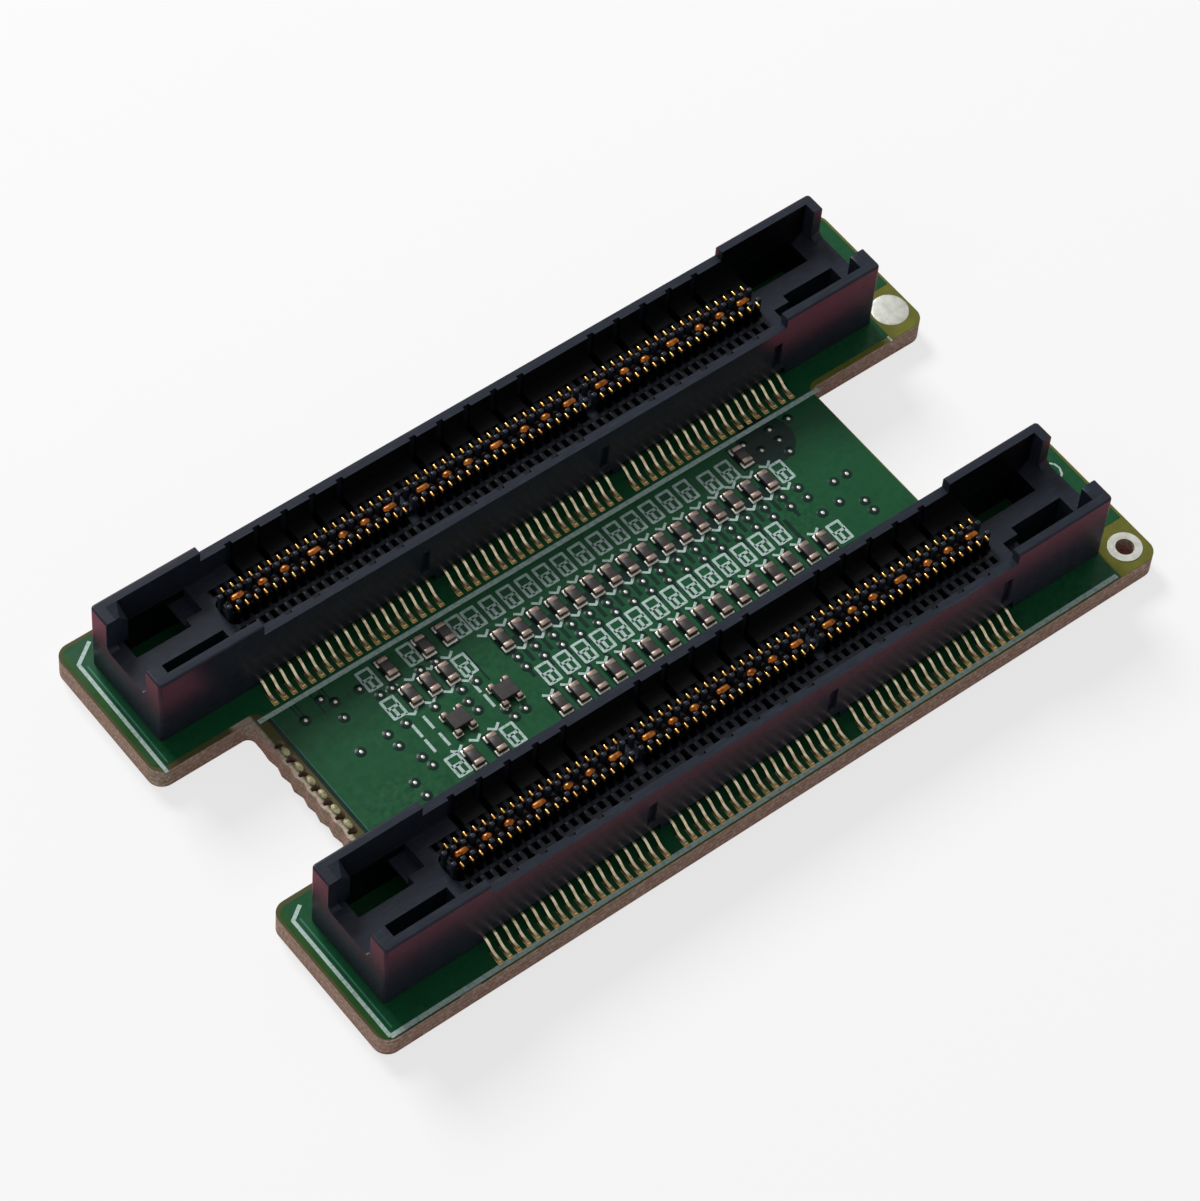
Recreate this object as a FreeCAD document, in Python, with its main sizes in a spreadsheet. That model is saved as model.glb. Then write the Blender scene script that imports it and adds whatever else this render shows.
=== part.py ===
import FreeCAD
import Part
import Sketcher
import os

# Two-row backplane board with two three-bank surface-mount sockets.
# Lengths in millimetres. Origin at the middle of the board outline, on its
# underside. X runs along the sockets, Y from the front socket to the rear one.

os.makedirs("parts", exist_ok=True)
doc = FreeCAD.newDocument("backplane")

# Driving dimensions
DIMENSIONS = {
    "board_length": 55.05,
    "board_depth": 30.95,
    "board_thickness": 1.57,
    "front_strip_depth": 10.4,
    "rear_strip_depth": 10.15,
    "web_left_inset": 6.2,
    "web_right_inset": 8.9,
    "outer_corner_radius": 0.9,
    "inner_corner_radius": 0.5,
    "tooling_hole_diameter": 1.1,
    "tooling_hole_right_inset": 1.37,
    "tooling_hole_front_inset": 1.5,
    "snap_hole_diameter": 0.5,
    "snap_hole_inset": 0.45,
    "snap_hole_pitch": 1.14,
    "snap_hole_first": 1.4,
    "snap_hole_last": 2.0,
    "snap_edge_roughness": 0.25,
    "socket_left_inset": 1.45,
    "front_socket_inset": 5.35,
    "rear_socket_inset": 5.1,
    "housing_length": 50.8,
    "housing_width": 6.65,
    "end_height": 5.3,
    "middle_height": 4.5,
    "middle_length": 36.9,
    "pit_length": 37.8,
    "pit_half_width": 2.75,
    "trench_half_width": 1.35,
    "pit_floor": 1.2,
    "lead_channel_height": 0.68,
    "spine_half_width": 0.42,
    "spine_height": 3.2,
    "slit_outer": 1.0,
    "end_wall": 0.65,
    "bay_floor": 2.9,
    "gusset_length": 1.45,
    "gusset_bevel_length": 0.45,
    "gusset_bevel_drop": 0.7,
    "rib_front_side": 0.8,
    "rib_rear_side": 0.4,
    "front_well_start": 1.85,
    "front_well_end": 5.95,
    "rear_well_start": 1.05,
    "rear_well_end": 4.7,
    "shelf_end": 5.8,
    "shelf_side": 0.95,
    "shelf_depth": 0.7,
    "notch_wide_side": 2.0,
    "notch_stub_side": 1.75,
    "notch_corner": 0.4,
    "comb_notch_width": 0.5,
    "comb_notch_depth": 0.2,
    "comb_notch_pitch": 1.905,
    "mould_slot_inset": 0.45,
    "mould_slot_width": 0.6,
    "mould_slot_depth": 0.3,
    "mould_slot_bottom": 1.3,
    "mould_slot_height": 2.0,
    "contact_pitch": 0.635,
    "bank_pitch": 12.7,
    "contact_thickness": 0.2,
    "blade_inner": 0.45,
    "blade_outer": 0.95,
    "blade_top": 4.15,
    "lead_bottom": 0.46,
    "lead_top": 0.62,
    "lead_bend": 3.6,
    "foot_start": 4.4,
    "foot_end": 4.85,
    "foot_thickness": 0.16,
    "bus_half_width": 0.3,
    "bus_bar_height": 0.2,
    "bus_tab_height": 0.45,
    "bus_tab_length": 0.9,
    "bus_spot_length": 0.55,
    "chip_length": 1.35,
    "chip_width": 0.65,
    "chip_height": 0.4,
    "chip_pitch": 1.27,
    "chip_grid_inset": 8.25,
    "network_length": 1.6,
    "network_width": 1.35,
    "network_height": 0.5,
}
CONTACTS_PER_BANK = 19
BANKS = (-1, 0, 1)
COMB_NOTCHES_PER_BANK = 5

# Rows of chips: distance behind the web's front end as a share of its depth,
# then the columns of single chips and the first and last column of the run
FRONT_ROW = (0.125, (0.25, 1.5), (5, 20))
NETWORK_ROW = (0.356, (0.85, 3.4))
MIDDLE_ROW = (0.635, (0, 1, 2), (5, 20))
REAR_ROW = (0.851, (0, 2, 3, 20), None)

# Tabs of a ground bus, counted in contacts from the middle of its bank
BUS_LONG_TABS = (-8.2, 0, 8.2)
BUS_ROUND_TABS = (-5.5, -3.15, 3.15, 5.5)


class Quantity:
    """A length together with the sheet expression it comes from."""

    def __init__(self, value, text):
        self.value = float(value)
        self.text = text

    def __add__(self, other):
        other = quantity(other)
        return Quantity(self.value + other.value, f"({self.text} + {other.text})")

    def __sub__(self, other):
        other = quantity(other)
        return Quantity(self.value - other.value, f"({self.text} - {other.text})")

    def __mul__(self, factor):
        return Quantity(self.value * factor, f"({self.text} * {factor})")

    def __neg__(self):
        return self * -1


def quantity(item):
    """Return the item itself, or a plain number as a quantity."""
    if isinstance(item, Quantity):
        return item
    return Quantity(item, f"({item})")


def d(name):
    """Return the sheet dimension of that name."""
    return Quantity(DIMENSIONS[name], f"Dimensions.{name}")


# Lines of the board that the pieces are placed from
LEFT = d("board_length") * -0.5
RIGHT = d("board_length") * 0.5
FRONT = d("board_depth") * -0.5
BACK = d("board_depth") * 0.5
WEB_FRONT = FRONT + d("front_strip_depth")
WEB_BACK = BACK - d("rear_strip_depth")
WEB_DEPTH = WEB_BACK - WEB_FRONT
WEB_LEFT = LEFT + d("web_left_inset")
WEB_RIGHT = RIGHT - d("web_right_inset")
SOCKET_MIDDLE = LEFT + d("socket_left_inset") + d("housing_length") * 0.5
SOCKETS = {
    "front": FRONT + d("front_socket_inset"),
    "rear": BACK - d("rear_socket_inset"),
}


def make_sheet():
    sheet = doc.addObject("Spreadsheet::Sheet", "Dimensions")
    for row, (name, value) in enumerate(DIMENSIONS.items(), start=1):
        sheet.set(f"A{row}", name.replace("_", " "))
        sheet.set(f"B{row}", str(value))
        sheet.setAlias(f"B{row}", name)
    doc.recompute()
    return sheet


def make_body(label, x=0.0, y=0.0, z=0.0):
    """Return a new body placed at a point given by numbers or quantities."""
    body = doc.addObject("PartDesign::Body", label)
    body.Label = label
    body.AllowCompound = True
    point = (quantity(x), quantity(y), quantity(z))
    body.Placement = FreeCAD.Placement(
        FreeCAD.Vector(*(item.value for item in point)), FreeCAD.Rotation()
    )
    for axis, item in zip("xyz", point):
        body.setExpression(f".Placement.Base.{axis}", item.text)
    return body


def origin_feature(body, role):
    for feature in body.Origin.OriginFeatures:
        if feature.Role == role:
            return feature
    raise ValueError(role)


def new_sketch(body, label, plane, offset):
    offset = quantity(offset)
    sketch = body.newObject("Sketcher::SketchObject", label)
    sketch.AttachmentSupport = [(origin_feature(body, plane), "")]
    sketch.MapMode = "FlatFace"
    sketch.AttachmentOffset = FreeCAD.Placement(
        FreeCAD.Vector(0, 0, offset.value), FreeCAD.Rotation()
    )
    sketch.setExpression(".AttachmentOffset.Base.z", offset.text)
    return sketch


def bind(sketch, kind, first, second, item):
    """Constrain point second from point first along an axis to a quantity."""
    if abs(item.value) < 1e-9:
        axis = -2 if kind == "DistanceX" else -1
        sketch.addConstraint(Sketcher.Constraint("PointOnObject", *second, axis))
        return
    index = sketch.addConstraint(Sketcher.Constraint(kind, *first, *second, item.value))
    sketch.setExpression(f"Constraints[{index}]", item.text)


def draw_polygon(sketch, points):
    """Draw a closed polygon and tie each corner to the sketch origin."""
    corners = [(quantity(x), quantity(y)) for x, y in points]
    vectors = [FreeCAD.Vector(x.value, y.value, 0) for x, y in corners]
    first = sketch.GeometryCount
    count = len(vectors)
    lines = [
        Part.LineSegment(vectors[i], vectors[(i + 1) % count]) for i in range(count)
    ]
    sketch.addGeometry(lines, False)
    for i in range(count):
        following = first + (i + 1) % count
        sketch.addConstraint(
            Sketcher.Constraint("Coincident", first + i, 2, following, 1)
        )
    for i, (x, y) in enumerate(corners):
        bind(sketch, "DistanceX", (-1, 1), (first + i, 1), x)
        bind(sketch, "DistanceY", (-1, 1), (first + i, 1), y)


def draw_circle(sketch, x, y, diameter):
    x, y = quantity(x), quantity(y)
    centre = FreeCAD.Vector(x.value, y.value, 0)
    circle = Part.Circle(centre, FreeCAD.Vector(0, 0, 1), diameter.value / 2)
    first = sketch.addGeometry(circle, False)
    bind(sketch, "DistanceX", (-1, 1), (first, 3), x)
    bind(sketch, "DistanceY", (-1, 1), (first, 3), y)
    index = sketch.addConstraint(
        Sketcher.Constraint("Diameter", first, diameter.value)
    )
    sketch.setExpression(f"Constraints[{index}]", diameter.text)


def rectangle(x0, x1, y0, y1):
    return [(x0, y0), (x1, y0), (x1, y1), (x0, y1)]


def both_sides(x0, x1, y0, y1):
    """Return the rectangle and its image half a turn round the middle."""
    x0, x1, y0, y1 = (quantity(item) for item in (x0, x1, y0, y1))
    return [rectangle(x0, x1, y0, y1), rectangle(-x1, -x0, -y1, -y0)]


def extrude(body, kind, label, sketch, length):
    length = quantity(length)
    feature = body.newObject(f"PartDesign::{kind}", label)
    feature.Profile = sketch
    feature.Length = length.value
    feature.setExpression("Length", length.text)
    body.Tip = feature
    return feature


def add(body, label, bottom, height, outlines):
    """Pad closed outlines upward from a height."""
    sketch = new_sketch(body, f"{label}_sketch", "XY_Plane", bottom)
    for outline in outlines:
        draw_polygon(sketch, outline)
    return extrude(body, "Pad", label, sketch, height)


def cut(body, label, top, depth, outlines):
    """Pocket closed outlines downward from a height."""
    sketch = new_sketch(body, f"{label}_sketch", "XY_Plane", top)
    for outline in outlines:
        draw_polygon(sketch, outline)
    return extrude(body, "Pocket", label, sketch, depth)


def repeat(body, label, feature, axis, pitch, count):
    """Repeat a feature of a body along one of its axes."""
    pattern = body.newObject("PartDesign::LinearPattern", label)
    pattern.Originals = [feature]
    pattern.Direction = (origin_feature(body, axis), [""])
    reach = pitch * (count - 1)
    pattern.Length = reach.value
    pattern.setExpression("Length", reach.text)
    pattern.Occurrences = count
    body.Tip = pattern
    return pattern


def round_corners(body, label, feature, radius, points):
    """Round the upright edges of a feature that stand on the given points."""
    doc.recompute()
    names = []
    for index, edge in enumerate(feature.Shape.Edges, start=1):
        box = edge.BoundBox
        if box.XLength > 1e-6 or box.YLength > 1e-6:
            continue
        for x, y in points:
            if abs(box.XMin - x.value) < 1e-4 and abs(box.YMin - y.value) < 1e-4:
                names.append(f"Edge{index}")
    if len(names) != len(points):
        raise ValueError(f"{label}: {len(names)} edges for {len(points)} corners")
    fillet = body.newObject("PartDesign::Fillet", label)
    fillet.Base = (feature, names)
    fillet.Radius = radius.value
    fillet.setExpression("Radius", radius.text)
    body.Tip = fillet
    return fillet


# Circuit board
def make_board():
    # Ragged edge left where the web was snapped from its panel, as shares of
    # its roughness and of its length between the two corners
    ragged = (
        (0.0, 0.0), (-0.88, 0.048), (0.4, 0.126), (-0.64, 0.194),
        (0.52, 0.262), (-1.0, 0.328), (0.24, 0.396), (-0.72, 0.458),
        (0.48, 0.526), (-1.08, 0.598), (0.32, 0.66), (-0.8, 0.734),
        (0.56, 0.8), (-0.4, 0.88), (0.2, 0.958), (0.0, 1.0),
    )
    corner = d("inner_corner_radius") * 1.5
    broken = WEB_DEPTH - corner * 2
    broken_edge = [
        (
            WEB_LEFT + d("snap_edge_roughness") * step,
            WEB_FRONT + corner + broken * share,
        )
        for step, share in reversed(ragged)
    ]
    outline = [
        (LEFT, FRONT), (RIGHT, FRONT), (RIGHT, WEB_FRONT),
        (WEB_RIGHT, WEB_FRONT), (WEB_RIGHT, WEB_BACK),
        (RIGHT, WEB_BACK), (RIGHT, BACK), (LEFT, BACK), (LEFT, WEB_BACK),
        (WEB_LEFT, WEB_BACK), *broken_edge, (WEB_LEFT, WEB_FRONT),
        (LEFT, WEB_FRONT),
    ]
    body = make_body("circuit_board")
    slab = add(body, "board_slab", 0.0, d("board_thickness"), [outline])
    outer = [
        (LEFT, FRONT), (RIGHT, FRONT), (RIGHT, WEB_FRONT), (RIGHT, WEB_BACK),
        (RIGHT, BACK), (LEFT, BACK), (LEFT, WEB_BACK), (LEFT, WEB_FRONT),
    ]
    inner = [
        (WEB_RIGHT, WEB_FRONT), (WEB_RIGHT, WEB_BACK),
        (WEB_LEFT, WEB_FRONT), (WEB_LEFT, WEB_BACK),
    ]
    rounded = round_corners(
        body, "outer_corners", slab, d("outer_corner_radius"), outer
    )
    round_corners(body, "inner_corners", rounded, d("inner_corner_radius"), inner)
    top = d("board_thickness")
    hole = new_sketch(body, "tooling_hole_sketch", "XY_Plane", top)
    draw_circle(
        hole,
        RIGHT - d("tooling_hole_right_inset"),
        FRONT + d("tooling_hole_front_inset"),
        d("tooling_hole_diameter"),
    )
    extrude(body, "Pocket", "tooling_hole", hole, top)
    snap = new_sketch(body, "snap_hole_sketch", "XY_Plane", top)
    draw_circle(
        snap,
        WEB_LEFT + d("snap_hole_inset"),
        WEB_FRONT + d("snap_hole_first"),
        d("snap_hole_diameter"),
    )
    snap_hole = extrude(body, "Pocket", "snap_hole", snap, top)
    reach = WEB_DEPTH - d("snap_hole_first") - d("snap_hole_last")
    pitch = d("snap_hole_pitch")
    count = int(reach.value / pitch.value + 0.001) + 1
    repeat(body, "snap_holes", snap_hole, "Y_Axis", pitch, count)
    return body


# Socket housings
def make_housing(label, y):
    """Return one moulded housing, the same half a turn round."""
    body = make_body(label, SOCKET_MIDDLE, y, d("board_thickness"))
    end = d("housing_length") * 0.5
    side = d("housing_width") * 0.5
    middle = d("middle_length") * 0.5
    pit = d("pit_length") * 0.5
    pit_side = d("pit_half_width")
    spine = d("spine_half_width")
    slit = d("slit_outer")
    bank = d("contact_pitch") * (CONTACTS_PER_BANK * 0.5)
    web = d("bank_pitch") * 0.5 - bank
    step = d("bank_pitch")
    add(body, "block", 0.0, d("end_height"), [rectangle(-end, end, -side, side)])
    cut(
        body, "low_middle", d("end_height"), d("end_height") - d("middle_height"),
        [rectangle(-middle, middle, -side - 1.0, side + 1.0)],
    )
    # A wide mating pit, and a narrow trench round the spine and its blades
    cut(
        body, "mating_pit", d("end_height"), d("end_height") - d("bay_floor"),
        [rectangle(-pit, pit, -pit_side, pit_side)],
    )
    trench = d("trench_half_width")
    cut(
        body, "contact_trench", d("bay_floor"), d("bay_floor") - d("pit_floor"),
        [rectangle(-pit, pit, -trench, trench)],
    )
    channels = []
    slits = []
    for number in BANKS:
        x0 = step * number - bank
        x1 = step * number + bank
        channels += [rectangle(x0, x1, spine + 0.0, side + 1.0)]
        channels += [rectangle(x0, x1, -side - 1.0, -spine)]
        slits += [rectangle(x0, x1, spine, slit), rectangle(x0, x1, -slit, -spine)]
    cut(
        body, "lead_channels", d("lead_channel_height"), d("lead_channel_height"),
        channels,
    )
    cut(body, "contact_slits", d("pit_floor"), d("pit_floor"), slits)
    add(
        body, "spine", 0.0, d("spine_height"),
        [rectangle(-pit, pit, -spine, spine)],
    )
    bridges = []
    for number in (-1, 1):
        x0 = step * (number * 0.5) - web
        x1 = step * (number * 0.5) + web
        bridges.append(rectangle(x0, x1, -trench, trench))
    add(body, "bank_bridges", 0.0, d("bay_floor"), bridges)
    notches = []
    half = d("comb_notch_width") * 0.5
    start = -d("comb_notch_pitch") * ((COMB_NOTCHES_PER_BANK - 1) * 0.5)
    deep = pit_side + d("comb_notch_depth")
    for number in BANKS:
        x0 = step * number + start - half
        x1 = step * number + start + half
        notches.append(rectangle(x0, x1, pit_side - 0.05, deep))
        notches.append(rectangle(x0, x1, -deep, -pit_side + 0.05))
    notch = cut(
        body, "comb_notch", d("middle_height"),
        d("middle_height") - d("bay_floor"), notches,
    )
    repeat(
        body, "comb_notches", notch, "X_Axis", d("comb_notch_pitch"),
        COMB_NOTCHES_PER_BANK,
    )
    # End bays with a low rib between two wells that reach the board
    bay_start = -end + d("end_wall")
    bays = both_sides(bay_start, -pit + 0.05, -pit_side, pit_side)
    cut(body, "end_bays", d("end_height"), d("end_height") - d("bay_floor"), bays)
    rear_well_end = -end + d("rear_well_end")
    wells = both_sides(
        -end + d("front_well_start"), -end + d("front_well_end"),
        -pit_side, -d("rib_front_side"),
    )
    wells += both_sides(
        -end + d("rear_well_start"), rear_well_end, d("rib_rear_side"), pit_side
    )
    cut(body, "wells", d("bay_floor"), d("bay_floor"), wells)
    shelf_end = -end + d("shelf_end")
    shelves = both_sides(rear_well_end - 0.05, shelf_end, d("shelf_side"), pit_side)
    cut(body, "shelves", d("bay_floor"), d("shelf_depth"), shelves)
    gusset_start = bay_start - 0.1
    gusset_end = -end + d("gusset_length")
    gusset_foot = d("bay_floor") - 0.1
    gusset = [
        (gusset_start, gusset_foot), (gusset_end, gusset_foot),
        (gusset_end, d("end_height") - d("gusset_bevel_drop")),
        (gusset_end - d("gusset_bevel_length"), d("end_height")),
        (gusset_start, d("end_height")),
    ]
    gusset_depth = pit_side - d("notch_stub_side") + 0.1
    for word, back, points in (
        ("left", pit_side + 0.1, gusset),
        ("right", -d("notch_stub_side"), [(-x, z) for x, z in gusset]),
    ):
        sketch = new_sketch(body, f"{word}_gusset_sketch", "XZ_Plane", -back)
        draw_polygon(sketch, points)
        extrude(body, "Pad", f"{word}_gusset", sketch, gusset_depth)
    # Notches with bevelled feet through the end walls
    corner = d("notch_corner")
    front = -d("notch_wide_side")
    back = d("notch_stub_side")
    notch = [
        (front, d("end_height") + 1.0), (front, d("bay_floor") + corner),
        (front + corner, d("bay_floor")), (back - corner, d("bay_floor")),
        (back, d("bay_floor") + corner), (back, d("end_height") + 1.0),
    ]
    for word, x, points in (
        ("left", bay_start + 0.05, notch),
        ("right", end + 1.0, [(-y, z) for y, z in notch]),
    ):
        sketch = new_sketch(body, f"{word}_notch_sketch", "YZ_Plane", x)
        draw_polygon(sketch, points)
        reach = d("end_wall") + 1.05
        extrude(body, "Pocket", f"{word}_notch", sketch, reach)
    # Upright slots in the long faces by the end of each bank
    slots = []
    for number in BANKS:
        x1 = step * number + bank - d("mould_slot_inset")
        x0 = x1 - d("mould_slot_width")
        slots += both_sides(x0, x1, -side - 1.0, -side + d("mould_slot_depth"))
    cut(
        body, "mould_slots", d("mould_slot_bottom") + d("mould_slot_height"),
        d("mould_slot_height"), slots,
    )
    return body


# Contacts
def make_contacts(label, socket_y, bank, side):
    """Return one row of a bank: side 1 has its feet behind, side -1 in front."""
    x = SOCKET_MIDDLE + d("bank_pitch") * bank
    body = make_body(label, x, socket_y, d("board_thickness"))
    inner = d("blade_inner")
    outer = d("blade_outer")
    low = d("lead_bottom")
    high = d("lead_top")
    profile = [
        (inner, d("blade_top")), (outer, d("blade_top")), (outer, high),
        (d("lead_bend") + 0.15, high), (d("foot_end"), d("foot_thickness")),
        (d("foot_end"), quantity(0)), (d("foot_start"), quantity(0)),
        (d("lead_bend"), low), (inner, low),
    ]
    start = -d("contact_pitch") * ((CONTACTS_PER_BANK - 1) * 0.5)
    offset = start - d("contact_thickness") * 0.5
    sketch = new_sketch(body, "contact_sketch", "YZ_Plane", offset)
    draw_polygon(sketch, [(y * side, z) for y, z in profile])
    contact = extrude(body, "Pad", "contact", sketch, d("contact_thickness"))
    repeat(
        body, "contact_row", contact, "X_Axis", d("contact_pitch"), CONTACTS_PER_BANK
    )
    return body


# Ground bus of one bank
def make_ground_bus(label, socket_y, bank):
    x = SOCKET_MIDDLE + d("bank_pitch") * bank
    z = d("board_thickness") + d("spine_height")
    body = make_body(label, x, socket_y, z)
    half = d("contact_pitch") * (CONTACTS_PER_BANK * 0.5 - 0.4)
    width = d("bus_half_width")
    bar = d("bus_bar_height")
    add(body, "bar", 0.0, bar, [rectangle(-half, half, -width, width)])
    tabs = []
    for places, size in (
        (BUS_LONG_TABS, "bus_tab_length"), (BUS_ROUND_TABS, "bus_spot_length")
    ):
        reach = d(size) * 0.5
        for place in places:
            centre = d("contact_pitch") * place
            tabs.append(
                rectangle(centre - reach, centre + reach, -width * 0.7, width * 0.7)
            )
    add(body, "tabs", bar, d("bus_tab_height"), tabs)
    return body


# Chips between the sockets
def row_body(label, share):
    """Return a body at the first column of a row of chips."""
    x = WEB_LEFT + d("chip_grid_inset")
    return make_body(label, x, WEB_FRONT + WEB_DEPTH * share, d("board_thickness"))


def column(place, half_x, half_y):
    """Return a chip's outline at a column of its row."""
    x = d("chip_pitch") * place
    return rectangle(x - half_x, x + half_x, -half_y, half_y)


def make_chips(label, share, singles, run):
    """Return a row of single chips and one run of chips at every column."""
    body = row_body(label, share)
    half_x = d("chip_width") * 0.5
    half_y = d("chip_length") * 0.5
    if run:
        first, last = run
        chip = add(
            body, "chip", 0.0, d("chip_height"), [column(first, half_x, half_y)]
        )
        repeat(body, "chip_row", chip, "X_Axis", d("chip_pitch"), last - first + 1)
    outlines = [column(place, half_x, half_y) for place in singles]
    add(body, "further_chips", 0.0, d("chip_height"), outlines)
    return body


def make_networks(label, share, places):
    body = row_body(label, share)
    half_x = d("network_width") * 0.5
    half_y = d("network_length") * 0.5
    outlines = [column(place, half_x, half_y) for place in places]
    add(body, "networks", 0.0, d("network_height"), outlines)
    return body


make_sheet()
nodes = [make_board()]
for socket, centre_y in SOCKETS.items():
    nodes.append(make_housing(f"{socket}_socket_housing", centre_y))
    for bank in BANKS:
        place = bank + 2
        nodes.append(
            make_contacts(f"{socket}_socket_front_contacts_{place}", centre_y, bank, -1)
        )
        nodes.append(
            make_contacts(f"{socket}_socket_rear_contacts_{place}", centre_y, bank, 1)
        )
        nodes.append(
            make_ground_bus(f"{socket}_socket_ground_bus_{place}", centre_y, bank)
        )
nodes.append(make_chips("chip_resistors_middle_row", *MIDDLE_ROW))
nodes.append(make_chips("chip_resistors_front_row", *FRONT_ROW))
nodes.append(make_chips("chip_capacitors_rear_row", *REAR_ROW))
nodes.append(make_networks("chip_networks", *NETWORK_ROW))
doc.recompute()

faults = [
    item.Name for item in doc.Objects
    if "Invalid" in item.State or "Error" in item.State
]
if faults:
    raise RuntimeError(f"objects with errors: {faults}")
for node in nodes:
    if node.Shape.isNull() or not node.Shape.isValid():
        raise RuntimeError(f"{node.Label} has no valid shape")
    node.Shape.exportStep(f"parts/{node.Label}.step")
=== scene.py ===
"""Backplane board with two three-bank sockets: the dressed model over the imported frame.

Lengths are in millimetres from one datum, the left end of the front socket on its
centreline at the board's top, until `at` turns them into metres of the row frame.
"""

import logging
import math
from dataclasses import dataclass, field
from enum import Enum
from typing import Callable, Sequence

import bmesh
import bpy
from mathutils import Matrix, Vector


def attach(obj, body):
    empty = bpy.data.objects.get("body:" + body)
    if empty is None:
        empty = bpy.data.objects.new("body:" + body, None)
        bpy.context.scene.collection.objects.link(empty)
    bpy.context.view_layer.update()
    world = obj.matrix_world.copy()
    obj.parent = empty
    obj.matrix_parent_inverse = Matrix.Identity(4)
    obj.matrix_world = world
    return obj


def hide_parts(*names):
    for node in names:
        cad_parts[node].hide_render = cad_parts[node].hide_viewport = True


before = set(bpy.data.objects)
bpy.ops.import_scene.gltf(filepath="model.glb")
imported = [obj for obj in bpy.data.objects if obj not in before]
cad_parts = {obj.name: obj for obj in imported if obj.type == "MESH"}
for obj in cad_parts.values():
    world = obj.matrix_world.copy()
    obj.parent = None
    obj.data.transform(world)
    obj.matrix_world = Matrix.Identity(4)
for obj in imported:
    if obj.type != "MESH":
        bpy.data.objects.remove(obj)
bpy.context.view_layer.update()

LOG = logging.getLogger("backplane")
MM = 0.001
MERGE = 0.001 * MM
DATUM = Vector((-26.075, -10.125, 1.57))
BOARD_THICKNESS = 1.57
SKIN = 0.02
SOCKET_STEP = 20.5
BANK_PITCH = 12.7
CONTACT_PITCH = 0.635
CONTACTS = 19
SOCKET_MIDDLE = 25.4
FOOT_SHIFT = 0.37
BANKS = 3
HALF_BANK = CONTACT_PITCH * CONTACTS / 2
FIRST_CONTACT = BANK_PITCH - CONTACT_PITCH * (CONTACTS - 1) / 2
GRID = 2 * CONTACT_PITCH
GRID_START = 19.35
NUDGE = 0.02
ROUND = 48

Point = Sequence[float]
Object = bpy.types.Object
Material = bpy.types.Material
Plug = bpy.types.NodeSocket


class Side(Enum):
    """The side of a socket that a contact row's feet point to."""

    FRONT = -1
    REAR = 1


class Socket(Enum):
    """One of the two sockets, with its distance behind the datum."""

    FRONT = 0.0
    REAR = SOCKET_STEP

    @property
    def word(self) -> str:
        """Return the socket's name in lower case."""
        return self.name.lower()


def at(x: float, y: float, z: float) -> Vector:
    """Return a point given from the datum, in metres of the row frame."""
    return (Vector((x, y, z)) + DATUM) * MM


def linear(value: int) -> float:
    """Turn a screen value of 0 to 255 into a linear share."""
    share = value / 255
    return share / 12.92 if share <= 0.04045 else ((share + 0.055) / 1.055) ** 2.4


def tone(red: int, green: int, blue: int) -> tuple[float, float, float, float]:
    """Return a screen colour of 0 to 255 as linear values, with a full alpha."""
    return (linear(red), linear(green), linear(blue), 1.0)


# Workshop tools


def deselect() -> None:
    """Leave edit mode and deselect everything."""
    if bpy.context.object and bpy.context.object.mode != "OBJECT":
        bpy.ops.object.mode_set(mode="OBJECT")
    bpy.ops.object.select_all(action="DESELECT")


def pick(*objects: Object) -> Object:
    """Select these objects alone and make the first one active.

    Args:
        objects: The objects to select.

    Returns:
        The first object.
    """
    deselect()
    for item in objects:
        item.select_set(True)
    bpy.context.view_layer.objects.active = objects[0]
    return objects[0]


def label(item: Object, name: str) -> Object:
    """Name an object and its mesh."""
    item.name = item.data.name = name
    return item


def named(name: str) -> Object:
    """Name the active object, and put its place into its mesh."""
    bpy.ops.object.transform_apply(location=True, rotation=True, scale=True)
    return label(bpy.context.object, name)


def block(name: str, low: Point, high: Point, turn: float = 0.0) -> Object:
    """Add a box.

    Args:
        name: Name of the object.
        low: Lowest corner from the datum.
        high: Highest corner from the datum.
        turn: Angle about the upright axis through its middle, in degrees.

    Returns:
        The box.
    """
    deselect()
    size = [(b - a) * MM for a, b in zip(low, high)]
    middle = [(a + b) / 2 for a, b in zip(low, high)]
    bpy.ops.mesh.primitive_cube_add(
        size=1.0, location=at(*middle), scale=size, rotation=(0, 0, math.radians(turn))
    )
    return named(name)


def disc(
    name: str, x: float, y: float, radius: float, low: float, high: float, sides: int = 32
) -> Object:
    """Add an upright cylinder.

    Args:
        name: Name of the new object.
        x: Place of its axis along the sockets.
        y: Place of its axis across them.
        radius: Its radius.
        low: Height of its foot above the board's top.
        high: Height of its head.
        sides: Number of faces round it.

    Returns:
        The cylinder.
    """
    deselect()
    bpy.ops.mesh.primitive_cylinder_add(
        vertices=sides,
        radius=radius * MM,
        depth=(high - low) * MM,
        location=at(x, y, (low + high) / 2),
    )
    return named(name)


def dome(name: str, centre: Point, radii: Point, sides: int = 12) -> Object:
    """Add a flattened ball.

    Args:
        name: Name of the object.
        centre: Its middle from the datum.
        radii: Its half lengths along the three axes.
        sides: Number of segments round it.

    Returns:
        The ball.
    """
    deselect()
    bpy.ops.mesh.primitive_uv_sphere_add(
        segments=sides,
        ring_count=max(6, sides // 2),
        radius=1.0,
        location=at(*centre),
        scale=[value * MM for value in radii],
    )
    return named(name)


def join(name: str, items: Sequence[Object]) -> Object:
    """Join objects into one mesh of that name.

    Args:
        name: Name of the mesh.
        items: The objects, which are used up.

    Returns:
        The joined object.
    """
    pick(*items)
    if len(items) > 1:
        bpy.ops.object.join()
    return label(bpy.context.object, name)


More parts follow.
